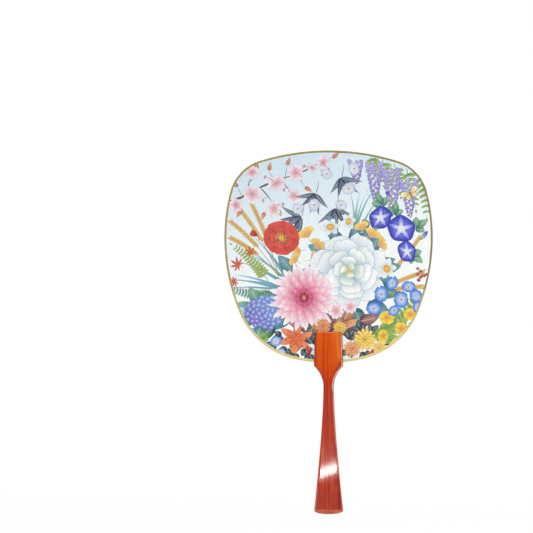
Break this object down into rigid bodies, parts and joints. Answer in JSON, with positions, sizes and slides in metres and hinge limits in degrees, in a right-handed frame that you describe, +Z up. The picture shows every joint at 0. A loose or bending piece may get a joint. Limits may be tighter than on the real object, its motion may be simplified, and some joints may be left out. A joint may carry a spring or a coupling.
{
  "type": "round uchiwa fan",
  "caption": "Rigid round hand fan: a flat, softly squared paper face on radiating bamboo ribs, with an inserted bamboo handle that curves forward at its end.",
  "frame": {"origin": "on the handle's axis, in the middle of its thickness, where the hand holds it, 90 mm above the handle's lowest point", "axes": "+Z up the handle towards the face, -Y out of the printed front, +X to the right of someone who looks at the front"},
  "size_m": [0.2292, 0.0258, 0.4],
  "materials": {
    "lacquered_bamboo": "stained red-brown, clear gloss lacquer",
    "printed_paper": "pearly paper with a printed pattern of flowers",
    "plain_paper": "pearly white paper",
    "rim_paper": "matt gold-coloured paper",
    "raw_bamboo": "plain split bamboo"
  },
  "bodies": {
    "root": {"handle": "lacquered_bamboo", "front_sheet": "printed_paper", "back_sheet": "plain_paper", "rim_strip": "rim_paper", "rib_root": "raw_bamboo", "rib_01": "raw_bamboo", "rib_02": "raw_bamboo", "rib_03": "raw_bamboo", "rib_04": "raw_bamboo", "rib_05": "raw_bamboo", "rib_06": "raw_bamboo", "rib_07": "raw_bamboo", "rib_08": "raw_bamboo", "rib_09": "raw_bamboo", "rib_10": "raw_bamboo", "rib_11": "raw_bamboo", "rib_12": "raw_bamboo", "rib_13": "raw_bamboo", "rib_14": "raw_bamboo", "rib_15": "raw_bamboo", "rib_16": "raw_bamboo", "rib_17": "raw_bamboo", "rib_18": "raw_bamboo", "rib_19": "raw_bamboo", "rib_20": "raw_bamboo", "rib_21": "raw_bamboo", "rib_22": "raw_bamboo", "rib_23": "raw_bamboo", "rib_24": "raw_bamboo", "rib_25": "raw_bamboo", "rib_26": "raw_bamboo", "rib_27": "raw_bamboo", "rib_28": "raw_bamboo", "rib_29": "raw_bamboo", "rib_30": "raw_bamboo", "rib_31": "raw_bamboo", "rib_32": "raw_bamboo", "rib_33": "raw_bamboo", "rib_34": "raw_bamboo", "rib_35": "raw_bamboo", "rib_36": "raw_bamboo", "rib_37": "raw_bamboo"}
  },
  "joints": []
}
